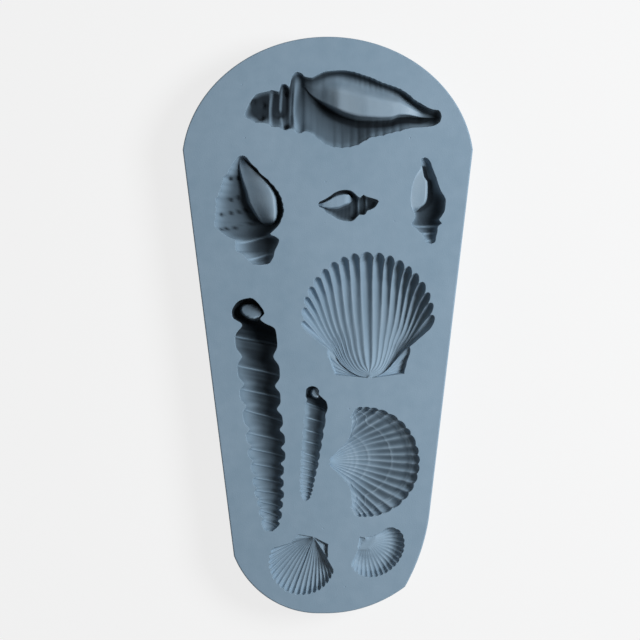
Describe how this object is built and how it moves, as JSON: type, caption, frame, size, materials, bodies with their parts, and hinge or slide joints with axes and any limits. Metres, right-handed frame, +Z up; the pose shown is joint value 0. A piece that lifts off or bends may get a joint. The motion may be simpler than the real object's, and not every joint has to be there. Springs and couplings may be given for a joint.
{
  "type": "seashell mould",
  "caption": "Flat flexible silicone mould with open seashell cavities: coiled shells, slim augers and ribbed scallops, for pressing damp sand, clay or paste.",
  "frame": {"origin": "middle of the flat underside", "axes": "+Y towards the broad rounded end, +Z up out of the open face, +X across the width"},
  "size_m": [0.0906, 0.18, 0.015],
  "materials": {
    "silicone": "matte blue-grey silicone, glossier inside the cavities"
  },
  "bodies": {
    "root": {"mould_body": "silicone"}
  },
  "joints": []
}
